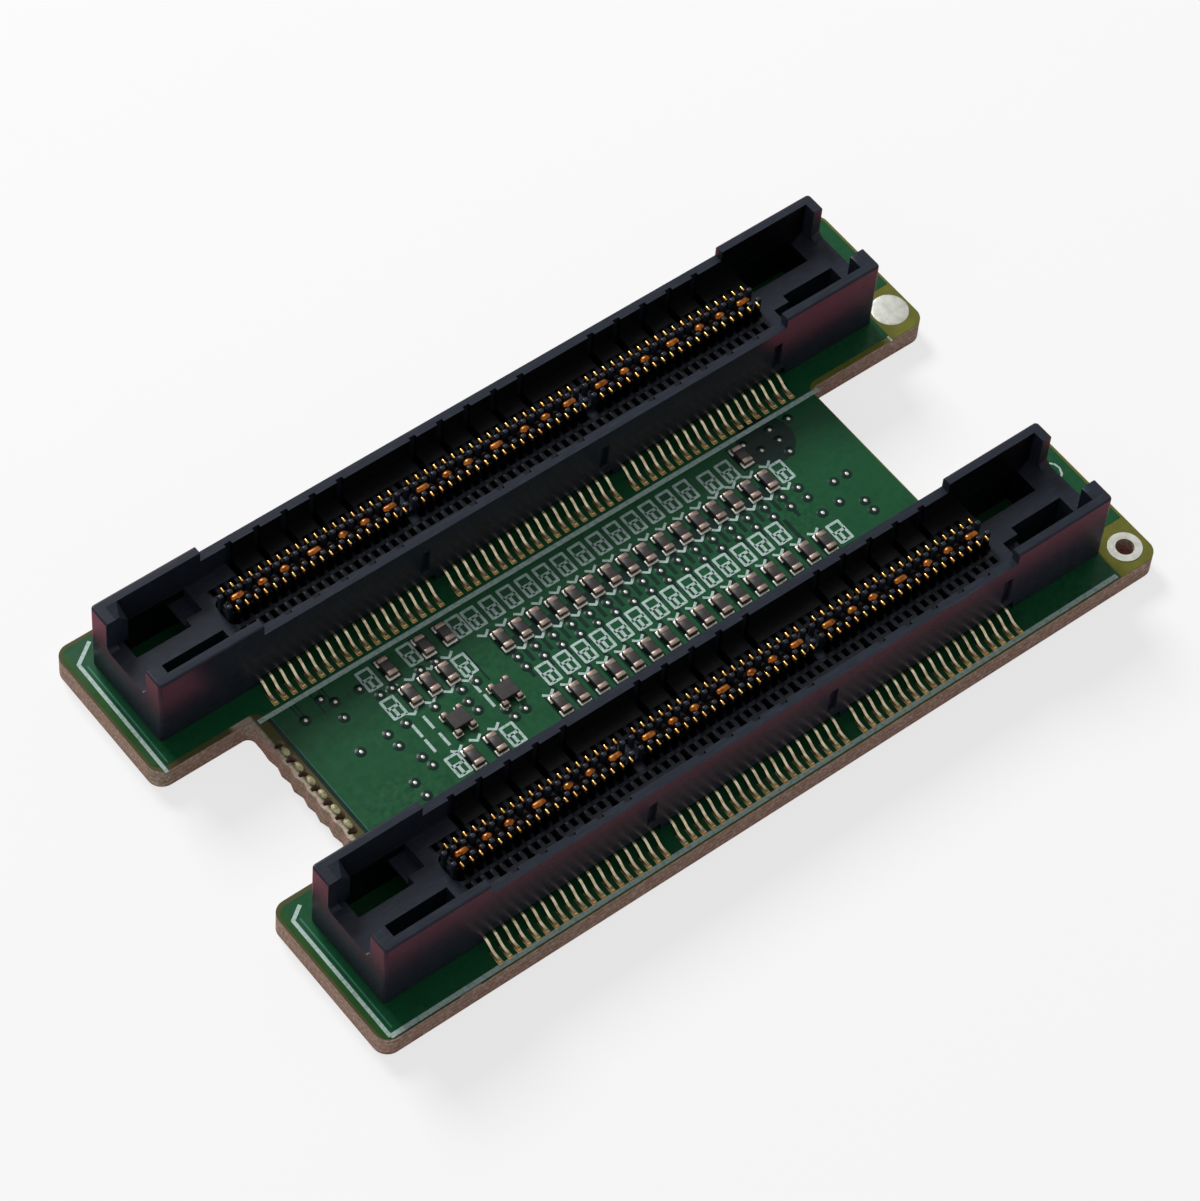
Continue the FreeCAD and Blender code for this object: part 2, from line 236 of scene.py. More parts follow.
def apply(item: Object, kind: str, **settings: object) -> Object:
    """Add a modifier with these settings and apply it.

    Args:
        item: The object that gets it.
        kind: The modifier's type.
        settings: Its properties.

    Returns:
        The same object.
    """
    pick(item)
    bpy.ops.object.modifier_add(type=kind)
    modifier = item.modifiers[-1]
    for key, value in settings.items():
        setattr(modifier, key, value)
    bpy.ops.object.modifier_apply(modifier=modifier.name)
    return item


def edit(item: Object, action: str) -> None:
    """Open an object's mesh, and select or deselect all of it.

    Args:
        item: The object.
        action: SELECT or DESELECT.
    """
    pick(item)
    bpy.ops.object.mode_set(mode="EDIT")
    bpy.ops.mesh.select_all(action=action)


def clean(item: Object) -> Object:
    """Merge the doubled vertices of an object.

    Args:
        item: The object.

    Returns:
        The same object.
    """
    edit(item, "SELECT")
    bpy.ops.mesh.remove_doubles(threshold=MERGE)
    deselect()
    return item


def carve(item: Object, cutters: Sequence[Object]) -> Object:
    """Cut other objects out of one.

    Args:
        item: The object.
        cutters: The objects to cut away, which are used up.

    Returns:
        The same object.
    """
    tool = join("cutter", cutters)
    apply(item, "BOOLEAN", operation="DIFFERENCE", solver="EXACT", use_self=True, object=tool)
    bpy.data.objects.remove(tool)
    return clean(item)


def fuse(item: Object, parts: Sequence[Object]) -> Object:
    """Unite other objects with one.

    Args:
        item: The object.
        parts: The objects to add, which are used up.

    Returns:
        The same object.
    """
    tool = join("addition", parts)
    apply(item, "BOOLEAN", operation="UNION", solver="EXACT", use_self=True, object=tool)
    bpy.data.objects.remove(tool)
    return clean(item)


def soften(item: Object, width: float, segments: int = 2, angle: float = 35.0) -> Object:
    """Round the sharp edges of an object.

    Args:
        item: The object.
        width: Width of the rounding.
        segments: Number of faces across it.
        angle: Angle from which an edge is sharp, in degrees.

    Returns:
        The same object.
    """
    return apply(
        item,
        "BEVEL",
        width=width * MM,
        segments=segments,
        limit_method="ANGLE",
        angle_limit=math.radians(angle),
    )


def round_edges(item: Object, radius: float, segments: int, high: float | None = None) -> Object:
    """Round the upright edges of an object, or those round its top.

    Args:
        item: The object.
        radius: Radius in millimetres.
        segments: Number of faces round each edge.
        high: Height of the top above the datum, or None for the upright edges.

    Returns:
        The same object.
    """
    edit(item, "DESELECT")
    bpy.ops.mesh.select_mode(type="EDGE")
    mesh = bmesh.from_edit_mesh(item.data)
    for edge in mesh.edges:
        a, b = (vertex.co for vertex in edge.verts)
        if high is None:
            edge.select_set((a.xy - b.xy).length < 1e-7)
        else:
            edge.select_set(min(a.z, b.z) > (high + DATUM.z - 0.001) * MM)
    bmesh.update_edit_mesh(item.data)
    bpy.ops.mesh.bevel(offset=radius * MM, segments=segments, affect="EDGES")
    bpy.ops.mesh.select_mode(type="VERT")
    deselect()
    return item


def smooth(item: Object, angle: float = 40.0) -> Object:
    """Shade an object smooth up to an angle between faces.

    Args:
        item: The object.
        angle: The angle in degrees.

    Returns:
        The same object.
    """
    pick(item)
    bpy.ops.object.shade_smooth_by_angle(angle=math.radians(angle))
    return apply(item, "WEIGHTED_NORMAL", keep_sharp=True, weight=60)


def in_line(item: Object, count: int, step: Point) -> Object:
    """Repeat an object in a line, as one mesh.

    Args:
        item: The object.
        count: Number of copies.
        step: Offset from one to the next.

    Returns:
        The same object.
    """
    return apply(
        item,
        "ARRAY",
        count=count,
        use_relative_offset=False,
        use_constant_offset=True,
        constant_offset_displace=[value * MM for value in step],
    )


def copy(item: Object, name: str, offset: Point = (0, 0, 0)) -> Object:
    """Copy an object with its own mesh, moved by an offset.

    Args:
        item: The object.
        name: Name of the new object.
        offset: Offset of the copy.

    Returns:
        The copy.
    """
    pick(item)
    bpy.ops.object.duplicate(linked=False)
    bpy.ops.transform.translate(value=[value * MM for value in offset])
    return named(name)


def half_turn(item: Object, name: str, x: float = SOCKET_MIDDLE) -> Object:
    """Copy an object half a turn round an upright line on the front socket's centreline.

    Args:
        item: The object.
        name: Name of the new object.
        x: Place of the line along the socket.

    Returns:
        The turned copy.
    """
    pick(copy(item, name))
    centre = at(x, 0, 0)
    bpy.ops.transform.rotate(value=math.pi, orient_axis="Z", center_override=centre)
    return named(name)


def in_row(item: Object, name: str, first: float, count: int) -> Object:
    """Use an object up for a row along the socket, at the contacts' pitch.

    Args:
        item: The object.
        name: Name of the new object.
        first: Place of the first copy.
        count: Number of copies.

    Returns:
        The row.
    """
    row = copy(item, name, (first, 0, 0))
    bpy.data.objects.remove(item)
    return in_line(row, count, (CONTACT_PITCH, 0, 0))


def scatter(item: Object, name: str, places: Sequence[Point]) -> Object:
    """Use up an object modelled at the datum for copies, joined to one mesh.

    Args:
        item: The object.
        name: Name of the joined mesh.
        places: The x and y of each copy.

    Returns:
        The joined mesh.
    """
    copies = [copy(item, name, (x, y, 0.0)) for x, y in places]
    bpy.data.objects.remove(item)
    return join(name, copies)


def choose(item: Object, test: Callable[[Vector], bool]) -> None:
    """In edit mode, select the vertices whose place fits.

    Args:
        item: The object.
        test: Says whether a place, in millimetres of the row frame, fits.
    """
    mesh = bmesh.from_edit_mesh(item.data)
    for vertex in mesh.verts:
        vertex.select_set(test(vertex.co / MM))
    mesh.select_flush(True)
    mesh.select_flush(False)
    bmesh.update_edit_mesh(item.data)


def line_up(first: float, y: float, count: int, skip: Sequence[int] = ()) -> list[Point]:
    """Return the places of a line of parts on the board's grid, with some left out."""
    return [(first + GRID * step, y) for step in range(count) if step not in skip]


def strip(name: str, points: Sequence[Point], width: float, high: float) -> Object:
    """Lay a flat band along points on the board.

    Args:
        name: Name of the object.
        points: The x and y of the band's middle line.
        width: Its width.
        high: Height of its top above the board's.

    Returns:
        The band.
    """
    parts = []
    side = width / 2
    for (x0, y0), (x1, y1) in zip(points, points[1:]):
        half = math.hypot(x1 - x0, y1 - y0) / 2
        x, y = (x0 + x1) / 2, (y0 + y1) / 2
        angle = math.degrees(math.atan2(y1 - y0, x1 - x0))
        parts.append(block(name, (x - half, y - side, 0.0), (x + half, y + side, high), angle))
    for x, y in points[1:-1]:
        parts.append(disc(name, x, y, side, 0.0, high, 20))
    if len(parts) == 1:
        return parts[0]
    return label(fuse(parts[0], parts[1:]), name)


def strips(name: str, lines: Sequence[tuple]) -> list[Object]:
    """Lay a band for each width, height and line of points."""
    return [strip(name, points, width, high) for width, high, points in lines]


# Finishes


class Graph:
    """A node tree being put together."""

    def __init__(self, tree: bpy.types.NodeTree) -> None:
        """Start with an empty tree."""
        self.tree = tree
        tree.nodes.clear()

    def fill(self, node: bpy.types.Node, **values: object) -> bpy.types.Node:
        """Set inputs of a node to values, or join outputs to them.

        Args:
            node: The node.
            values: The inputs by name, with underscores for the spaces.

        Returns:
            The same node.
        """
        for key, value in values.items():
            self.feed(node.inputs[key.replace("_", " ")], value)
        return node

    def feed(self, socket: Plug, value: object) -> None:
        """Set one input to a value, or join an output to it.

        Args:
            socket: The input.
            value: A value or an output.
        """
        if isinstance(value, Plug):
            self.tree.links.new(value, socket)
        else:
            socket.default_value = value

    def add(self, kind: str, **values: object) -> bpy.types.Node:
        """Add a node and fill its inputs."""
        return self.fill(self.tree.nodes.new(f"ShaderNode{kind}"), **values)

    def combine(self, operation: str, first: Plug, second: object) -> Plug:
        """Reckon with two values.

        Args:
            operation: The kind of sum.
            first: The first value.
            second: The second value.

        Returns:
            The outcome.
        """
        node = self.add("Math")
        node.operation = operation
        self.feed(node.inputs[0], first)
        self.feed(node.inputs[1], second)
        return node.outputs["Value"]

    def blend(self, factor: Plug, first: object, second: object) -> Plug:
        """Mix two colours, each a value or an output.

        Args:
            factor: Share of the second.
            first: The first colour.
            second: The second colour.

        Returns:
            The mixed colour.
        """
        node = self.add("Mix")
        node.data_type = "RGBA"
        self.feed(node.inputs["Factor"], factor)
        self.feed(node.inputs[6], first)
        self.feed(node.inputs[7], second)
        return node.outputs[2]

    def layer(self, factor: Plug, first: Plug, second: Plug) -> Plug:
        """Mix two shaders.

        Args:
            factor: Share of the second.
            first: The first shader.
            second: The second shader.

        Returns:
            The mixed shader.
        """
        node = self.add("MixShader")
        for socket, plug in zip(node.inputs, (factor, first, second)):
            self.feed(socket, plug)
        return node.outputs["Shader"]

    def seen(self) -> Plug:
        """Tell what is looked at from what only lights.

        Returns:
            1 for rays from the camera, a gloss or a clear body, else 0.
        """
        path = self.add("LightPath").outputs
        total = path["Is Camera Ray"]
        for name in ("Is Glossy Ray", "Is Transmission Ray"):
            total = self.combine("MAXIMUM", total, path[name])
        return total


class Recipe(Graph):
    """A material being put together round one shader."""

    def __init__(self, name: str) -> None:
        """Start a material with its shader and output.

        Args:
            name: Name of the material.
        """
        self.material = bpy.data.materials.new(name)
        self.material.use_nodes = True
        super().__init__(self.material.node_tree)
        self.shader = self.add("BsdfPrincipled")
        self.add("OutputMaterial", Surface=self.shader.outputs["BSDF"])
        self.where = self.add("TexCoord").outputs["Object"]

    def coat(self, **values: object) -> None:
        """Fill the shader's own inputs."""
        self.fill(self.shader, **values)

    def noise(self, scale: float, detail: float = 3.0, rough: float = 0.5) -> Plug:
        """Return cloudy noise with that many cells to a metre."""
        node = self.add("TexNoise", Scale=scale, Detail=detail, Roughness=rough)
        return self.fill(node, Vector=self.where).outputs["Fac"]

    def stretched_noise(self, scale: Point, detail: float = 4.0) -> Plug:
        """Return noise whose cells are drawn out along the axes."""
        place = self.add("Mapping", Vector=self.where, Scale=scale).outputs["Vector"]
        return self.add("TexNoise", Vector=place, Scale=1.0, Detail=detail).outputs["Fac"]

    def axis(self, name: str, of: str = "Object") -> Plug:
        """Return one coordinate of the place, or of the normal."""
        source = self.add("TexCoord").outputs[of]
        return self.add("SeparateXYZ", Vector=source).outputs[name]

    def spread(
        self, value: Plug, low: float, high: float, to_low: float = 0.0, to_high: float = 1.0
    ) -> Plug:
        """Map a range of a value onto another range, held at its ends."""
        node = self.add("MapRange", Value=value, From_Min=low, From_Max=high)
        return self.fill(node, To_Min=to_low, To_Max=to_high).outputs["Result"]

    def relief(self, height: Plug, depth: float, strength: float = 0.4) -> None:
        """Give the shader a bump of that depth in millimetres."""
        bump = self.add("Bump", Height=height, Distance=depth * MM, Strength=strength)
        self.coat(Normal=bump.outputs["Normal"])


@dataclass(frozen=True)
class MouldedPlastic:
    """Black glass-filled thermoplastic, half glossy, with a fine grain."""

    name: str = "moulded_plastic"
    base: tuple = tone(32, 36, 45)
    cloudy: tuple = tone(37, 42, 52)
    worn: tuple = tone(46, 52, 62)

    def make(self) -> Material:
        """Put the material together.

        Returns:
            The material.
        """
        mix = Recipe(self.name)
        cloud = mix.spread(mix.noise(900, 4.0), 0.35, 0.75)
        fibre = mix.spread(mix.stretched_noise((900, 9000, 9000)), 0.52, 0.8)
        colour = mix.blend(fibre, mix.blend(cloud, self.base, self.cloudy), self.worn)
        grain = mix.noise(9000, 3.0, 0.6)
        rough = mix.spread(grain, 0.3, 0.7, 0.26, 0.36)
        mix.coat(Base_Color=colour, Roughness=rough, Specular_IOR_Level=0.11, IOR=1.5)
        mix.relief(grain, 0.004)
        return mix.material


@dataclass(frozen=True)
class SolderMask:
    """Green lacquer, yellower along the board's left edge where no copper lies under it."""

    name: str = "solder_mask"
    base: tuple = tone(16, 74, 43)
    deep: tuple = tone(11, 64, 36)
    light: tuple = tone(26, 84, 50)
    margin: tuple = tone(30, 74, 26)
    roughness: float = 0.3
    shine: float = 0.13

    def make(self) -> Material:
        """Put the material together.

        Returns:
            The material.
        """
        mix = Recipe(self.name)
        cloud = mix.spread(mix.noise(260), 0.3, 0.7)
        weave = mix.spread(mix.stretched_noise((3200, 3200, 400), 2.0), 0.35, 0.7)
        colour = mix.blend(cloud, self.base, self.deep)
        colour = mix.blend(mix.combine("MULTIPLY", weave, cloud), colour, self.light)
        outside = mix.spread(mix.axis("X"), -0.02690, -0.02696)
        flow = mix.noise(1500)
        mix.coat(
            Base_Color=mix.blend(outside, colour, self.margin),
            Roughness=mix.spread(flow, 0.3, 0.7, self.roughness - 0.05, self.roughness + 0.06),
            Specular_IOR_Level=self.shine,
        )
        mix.relief(flow, 0.006)
        return mix.material


@dataclass(frozen=True)
class Laminate:
    """Glass-fibre board: olive where bare on top, tan and layered on its edges."""

    name: str = "laminate"
    bare: tuple = tone(106, 104, 40)
    bare_cloud: tuple = tone(90, 92, 36)
    bare_strip: tuple = tone(74, 72, 42)
    edge: tuple = tone(146, 132, 112)
    ply: tuple = tone(96, 84, 66)
    speck: tuple = tone(186, 174, 158)
    rim: tuple = tone(150, 134, 118)
    rim_fibre: tuple = tone(182, 170, 154)
    underside: tuple = tone(16, 74, 43)

    def make(self) -> Material:
        """Put the material together.

        Returns:
            The material.
        """
        mix = Recipe(self.name)
        upright = mix.axis("Z", "Normal")
        face = mix.blend(mix.spread(upright, 0.5, 0.8), self.side(mix), self.top(mix))
        under = mix.spread(upright, -0.5, -0.8)
        mix.coat(Base_Color=mix.blend(under, face, self.underside))
        mix.coat(Roughness=0.62, Specular_IOR_Level=0.12)
        mix.relief(mix.stretched_noise((1500, 1500, 12000)), 0.03, 0.6)
        return mix.material

    def side(self, mix: Recipe) -> Plug:
        """Colour the edges, in plies of glass.

        Args:
            mix: The material's recipe.

        Returns:
            The colour.
        """
        wave = mix.add("TexWave", Vector=mix.where, Scale=900, Distortion=1.2, Detail=2.0)
        wave.bands_direction = "Z"
        fibre = mix.spread(mix.stretched_noise((700, 700, 9000)), 0.35, 0.7)
        plies = mix.combine("MULTIPLY", wave.outputs["Fac"], fibre)
        speck = mix.spread(mix.noise(5200, 4.0), 0.45, 0.75)
        return mix.blend(speck, mix.blend(plies, self.edge, self.ply), self.speck)

    def top(self, mix: Recipe) -> Plug:
        """Colour the bare top: dark beside the snapped rim, pale on it.

        Args:
            mix: The material's recipe.

        Returns:
            The colour.
        """
        left = mix.axis("X")
        top = mix.blend(mix.spread(mix.noise(1100), 0.3, 0.7), self.bare, self.bare_cloud)
        top = mix.blend(mix.spread(left, -0.02040, -0.02048), top, self.bare_strip)
        inner, outer = mix.spread(left, -0.02105, -0.0212), mix.spread(left, -0.0226, -0.0222)
        fibre = mix.spread(mix.stretched_noise((900, 4200, 900)), 0.3, 0.7)
        pale = mix.blend(fibre, self.rim, self.rim_fibre)
        return mix.blend(mix.combine("MULTIPLY", inner, outer), top, pale)


@dataclass(frozen=True)
class Metal:
    """Plated or soldered metal with uneven shine."""

    name: str
    base: tuple
    dull: tuple
    roughness: float
    patches: float = 2500.0

    def make(self) -> Material:
        """Put the material together.

        Returns:
            The material.
        """
        mix = Recipe(self.name)
        cloud = mix.spread(mix.noise(self.patches), 0.35, 0.7)
        fine = mix.noise(self.patches * 5, 2.0)
        mix.coat(
            Base_Color=mix.blend(cloud, self.base, self.dull),
            Roughness=mix.spread(fine, 0.3, 0.7, self.roughness * 0.75, self.roughness * 1.3),
            Metallic=1.0,
        )
        mix.relief(fine, 0.004, 0.5)
        return mix.material


@dataclass(frozen=True)
class Ink:
    """Printed ink, thin enough for the lacquer to show at its edges."""

    name: str = "legend_ink"
    base: tuple = tone(166, 186, 180)
    thin: tuple = tone(112, 144, 132)

    def make(self) -> Material:
        """Put the material together.

        Returns:
            The material.
        """
        mix = Recipe(self.name)
        patch = mix.spread(mix.noise(3800, 4.0, 0.6), 0.45, 0.72)
        mix.coat(Base_Color=mix.blend(patch, self.base, self.thin), Roughness=0.55)
        mix.relief(mix.noise(9000, 2.0), 0.004, 0.5)
        return mix.material


@dataclass(frozen=True)
class Ceramic:
    """Dark glazed body of a chip."""

    name: str = "chip_body"
    base: tuple = tone(30, 25, 25)
    light: tuple = tone(46, 40, 40)

    def make(self) -> Material:
        """Put the material together.

        Returns:
            The material.
        """
        mix = Recipe(self.name)
        cloud = mix.spread(mix.noise(4200), 0.35, 0.7)
        mix.coat(Base_Color=mix.blend(cloud, self.base, self.light))
        mix.coat(Roughness=0.36, Specular_IOR_Level=0.3)
        mix.relief(mix.noise(12000, 2.0), 0.004)
        return mix.material


PLASTIC = MouldedPlastic().make()
# Painted shade: darker copies of the plastic for faces inside the socket's opening, the second
# darker still for its shaded rear side
PAINTED_SHADE_PLASTIC = MouldedPlastic(
    "moulded_plastic_pocket", tone(22, 25, 32), tone(26, 30, 38), tone(34, 39, 48)
).make()
PAINTED_DEEP_SHADE_PLASTIC = MouldedPlastic(
    "moulded_plastic_recess", tone(7, 8, 11), tone(9, 10, 13), tone(13, 14, 18)
).make()
MASK = SolderMask().make()
DARK_MASK = SolderMask(
    "solder_mask_dark", tone(10, 38, 32), tone(7, 30, 25), tone(14, 44, 37), tone(10, 38, 32), 0.24
).make()
# Pale lacquer for the pale tracks, and for one thin line that is a painted highlight
PALE_TRACK_AND_HIGHLIGHT_MASK = SolderMask(
    "solder_mask_over_copper", tone(58, 116, 96), tone(46, 100, 82), tone(70, 128, 108),
    tone(58, 116, 96), 0.3
).make()
LAMINATE = Laminate().make()
INK = Ink().make()
GOLD = Metal("gold_plate", tone(206, 164, 96), tone(170, 120, 58), 0.3).make()
BRONZE = Metal("bus_plate", tone(140, 84, 38), tone(84, 44, 18), 0.3, 4200.0).make()
TIN = Metal("tinned_lead", tone(190, 178, 154), tone(142, 126, 100), 0.2).make()
SOLDER = Metal("solder", tone(176, 152, 104), tone(138, 112, 68), 0.36).make()
LAND = Metal("tinned_land", tone(172, 174, 168), tone(156, 154, 146), 0.5).make()
TERMINAL = Metal("chip_terminal", tone(128, 114, 106), tone(100, 88, 80), 0.4).make()
CERAMIC = Ceramic().make()
RIM_RESIN = Ceramic("rim_resin", tone(116, 112, 74), tone(186, 178, 142)).make()
# Painted shade: near black metal for the blades' shanks and the bus bar, which lie deep in the pit
PAINTED_SHADE_METAL = Metal("bus_bar_plate", tone(22, 15, 10), tone(13, 9, 7), 0.5).make()


def dress(item: Object, material: Material) -> Object:
    """Give an object one material.

    Args:
        item: The object.
        material: The material.

    Returns:
        The same object.
    """
    item.data.materials.clear()
    item.data.materials.append(material)
    return item


def lump(low: Point, high: Point, width: float, segments: int, material: Material) -> Object:
    """Add a box with rounded edges and one material."""
    return dress(soften(block("lump", low, high), width, segments), material)


def hand_over(item: Object, slot: str, *nodes: str) -> Object:
    """Put a finished piece on the row's body.

    Args:
        item: The piece.
        slot: The record's material slot for the piece; not used.
        nodes: The CAD nodes that it stands for.

    Returns:
        The piece.
    """
    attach(item, "root")
    if nodes:
        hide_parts(*nodes)
    LOG.info("%s: %d faces", item.name, len(item.data.polygons))
    return item


# Circuit board


@dataclass
class Board:
    """The H-shaped board with its lacquer, print, lands and vias."""

    left: float = -1.45
    right: float = 53.6
    front: float = -5.35
    back: float = 25.6
    web_left: float = 4.75
    web_right: float = 44.7
    lacquer_edge: float = 0.17
    line_width: float = 0.3
    line_height: float = 0.014
    mark_height: float = 0.012
    mark_strokes: tuple = (0.17, 0.2)
    track_width: float = 0.1
    track_height: float = 0.008
    hole: tuple = (52.23, -3.85)
    vias: tuple = (
        (7.25, 13.75), (8.75, 14.4), (9.1, 12.65), (8.5, 10.3), (10.4, 10.35),
        (10.45, 9.4), (11.05, 8.05), (11.6, 12.7), (11.65, 10.35), (12.4, 12.7),
        (9.7, 6.95), (9.75, 5.9), (15.45, 12.7), (13.6, 10.3), (15.5, 10.35),
        (16.5, 10.35), (15.3, 9.5), (15.4, 8.75), (10.9, 13.7), (9.3, 13.8),
        (38.9, 14.5), (40.85, 14.5), (42.25, 14.5), (39.55, 13.6), (40.85, 13.6),
        (40.85, 12.6), (39.6, 10.3), (39.6, 9.45), (41.55, 9.45), (42.5, 9.45),
        (39.6, 8.1), (40.9, 8.15), (42.15, 7.35), (42.15, 6.55), (14.4, 12.75),
        (16.8, 7.2), (17.6, 7.3), (16.7, 7.9), (11.2, 7.3),
    )
    via_rows: tuple = (10.3, 9.5)
    bumps: tuple = (12.75, 11.5, 10.4, 9.3, 8.1, 6.95)
    frames: tuple = (
        (11.7, 13.9), (11.7, 11.6), (14.55, 13.95), (16.6, 11.6), (12.35, 6.5),
        (16.0, 6.35), (35.7, 13.55), (37.0, 13.55), (39.55, 11.75), (39.55, 6.5),
        (17.9, 13.9),
    )
    bars: tuple = (
        (11.85, 9.6), (11.85, 8.4), (12.7, 9.7), (12.75, 8.3), (16.25, 10.1), (16.3, 8.9),
    )

    def laminate(self) -> Object:
        """Take the board's own solid and thin it by the two skins of lacquer.

        Returns:
            The laminate.
        """
        pick(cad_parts["circuit_board"])
        bpy.ops.object.duplicate(linked=False)
        core = label(bpy.context.object, "board_laminate")
        for key in [key for key in core.keys() if key.startswith("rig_")]:
            del core[key]
        core.parent = None
        edit(core, "SELECT")
        bpy.ops.mesh.remove_doubles(threshold=MERGE)
        bpy.ops.mesh.dissolve_limited(angle_limit=math.radians(1))
        choose(core, lambda place: place.z > BOARD_THICKNESS - 0.01)
        bpy.ops.transform.translate(value=(0, 0, -SKIN * MM))
        choose(core, lambda place: place.z < 0.01)
        bpy.ops.transform.translate(value=(0, 0, SKIN * MM))
        # The snapped rim of the web, evened out
        bpy.ops.mesh.select_all(action="DESELECT")
        middle = self.web_left + DATUM.x - 0.03
        choose(core, lambda place: abs(place.x - middle) < 0.26 and -4.0 < place.y < 4.3)
        bpy.ops.transform.resize(value=(0.45, 1, 1), center_override=(middle * MM, 0, 0))
        deselect()
        soften(core, 0.03, 1, 60)
        return dress(core, LAMINATE)

    def lacquer(self, name: str, low: float, high: float) -> Object:
        """Lay the three fields of lacquer.

        Args:
            name: Name of the new object.
            low: Height of their underside.
            high: Height of their top.

        Returns:
            The lacquer.
        """
        inset = self.lacquer_edge
        left, right = self.left + inset, self.right - inset
        front = block(name, (left, self.front + 0.07, low), (right, 4.75, high))
        rear = block(name, (left, 15.8, low), (right, self.back - 0.25, high))
        web = block(name, (5.6, 4.5, low), (self.web_right - 0.08, 16.1, high))
        skin = fuse(front, [web, rear])
        return label(round_edges(skin, 0.7, 6), name)

    def print_lines(self) -> Object:
        """Print the outline of each socket.

        Returns:
            The printed lines.
        """
        high = self.line_height
        wide, thin, fine = self.line_width, self.line_width * 0.75, 0.12
        curl = ((52.35, 2.0), (52.7, 2.2), (52.86, 2.6), (52.8, 2.95), (52.6, 3.2))
        lines = (
            (thin, high, ((0.05, 4.29), (-0.84, 3.69), (-0.85, -5.1))),
            (wide, high, ((-0.85, -5.1), (50.5, -5.1))),
            (thin, high, ((0.63, 25.0), (-0.75, 24.04), (-0.83, 15.4))),
            (wide, high, ((5.1, 15.15), (45.1, 15.15))),
            (thin, high, ((52.05, 24.0), (52.35, 24.6), (52.3, 25.1))),
            (fine, high, curl),
            (fine, high, ((50.9, 15.4), (50.9, 15.8))),
        )
        bands = strips("print_line", lines)
        return dress(label(fuse(bands[0], bands[1:]), "print_lines"), INK)

    def marks(self) -> Object:
        """Print a plain framed bar beside each chip.

        Returns:
            The printed marks.
        """
        high = self.mark_height
        rim, bar = self.mark_strokes
        outline = ((-0.4, -0.68), (0.4, -0.68), (0.4, 0.68), (-0.4, 0.68), (-0.4, -0.72))
        lines = (
            (rim, high, outline),
            (bar, high, ((-0.4, 0.05), (0.4, 0.05))),
            (bar, high, ((-0.05, 0.05), (-0.05, -0.68))),
        )
        places = [*self.frames, *line_up(18.95, 13.85, 13), *line_up(20.1, 8.45, 14)]
        framed = scatter(join("framed_mark", strips("mark", lines)), "print_frames", places)
        chevron = strip("mark", ((-0.38, 0.16), (0.0, -0.14), (0.38, 0.16)), 0.16, high)
        places = line_up(12.4, 12.62, 22, (4,)) + line_up(12.4, 10.72, 22, (4, 5))
        arrows = scatter(chevron, "print_arrows", places + line_up(12.9, 7.3, 21, (3, 4)))
        stroke = block("mark", (-0.09, -0.5, 0.0), (0.09, 0.5, high))
        bars = scatter(stroke, "print_bars", self.bars)
        return dress(join("print_marks", [framed, arrows, bars]), INK)

    def via_field(self) -> list[Object]:
        """Place the lacquered rings of the vias and their tinned middles.

        Returns:
            The rings and the middles.
        """
        places = list(self.vias)
        for y in self.via_rows:
            places += line_up(GRID_START, y, 16)
        ring = soften(disc("via_ring", 0, 0, 0.34, 0.0, 0.016, 24), 0.012, 2)
        rings = dress(scatter(ring, "via_rings", places), DARK_MASK)
        middle = dome("via_middle", (0.03, 0, 0.012), (0.11, 0.13, 0.025), 12)
        middles = dress(scatter(middle, "via_middles", places), LAND)
        return [smooth(rings), smooth(middles)]

    def traces(self) -> Object:
        """Lay the copper tracks that stand up under the lacquer.

        Returns:
            The tracks.
        """
        width, high = self.track_width, self.track_height
        lines = (
            (width, high, ((7.1, 15.0), (7.12, 13.9))),
            (width, high, ((7.38, 15.0), (7.38, 13.9))),
            (width, high, ((8.45, 15.0), (8.45, 13.5))),
            (width, high, ((9.2, 15.0), (9.2, 13.9))),
            (width, high, ((8.95, 14.9), (8.95, 14.5))),
            (0.12, high, ((17.15, 12.4), (17.15, 10.0))),
            (0.22, 0.01, ((5.7, 5.3), (5.7, 15.0))),
        )
        parts = strips("track", lines)
        column = block("track", (-0.13, -1.0, 0.0), (0.13, 1.0, 0.006))
        places = line_up(GRID_START, 9.7, 16) + line_up(19.98, 10.6, 15)
        parts.append(scatter(column, "tracks", places + line_up(19.7, 8.0, 15)))
        ground = block("track", (-0.5, -0.92, 0.0), (0.5, 0.92, 0.005))
        places = [place for row in Chips().places().values() for place in row]
        parts.append(scatter(ground, "tracks", places))
        parts.append(disc("track", 40.2, 14.0, 1.75, 0.0, 0.004, ROUND))
        return dress(join("lacquered_tracks", parts), DARK_MASK)

    def bright_lines(self) -> Object:
        """Lay the pale lines beside the lacquer's own edges; the thinnest, at x 5.83 along the
        dark track, is a painted highlight.

        Returns:
            The lines.
        """
        width = self.track_width
        lines = (
            (width, 0.01, ((-0.45, 3.6), (-0.47, -4.7))),
            (width, 0.01, ((-0.4, 23.7), (-0.45, 15.9))),
            # Painted highlight: this thin pale line stands for the glint along the dark track's
            # edge
            (0.035, 0.012, ((5.83, 5.3), (5.83, 15.0))),
        )
        return dress(join("pale_tracks", strips("pale_track", lines)), PALE_TRACK_AND_HIGHLIGHT_MASK)

    def lands(self) -> list[Object]:
        """Place the ring land, the solid land and the plated bumps of the rim.

        Returns:
            The ring, the land and the bumps.
        """
        ring = disc("ring_land", *self.hole, 1.03, -SKIN, 0.02, ROUND)
        ring = carve(ring, [disc("bore", *self.hole, 0.56, -1.0, 1.0, ROUND)])
        ring = dress(soften(ring, 0.015, 2), LAND)
        solid = dome("solid_land", (52.3, 17.28, -0.01), (1.15, 1.15, 0.07), 40)
        solid = dress(smooth(solid), LAND)
        bump = dome("rim_bump", (5.2, 0, -0.01), (0.21, 0.36, 0.12), 14)
        bumps = scatter(bump, "rim_bumps", [(0.0, y) for y in self.bumps])
        return [smooth(ring), solid, dress(smooth(bumps), RIM_RESIN)]

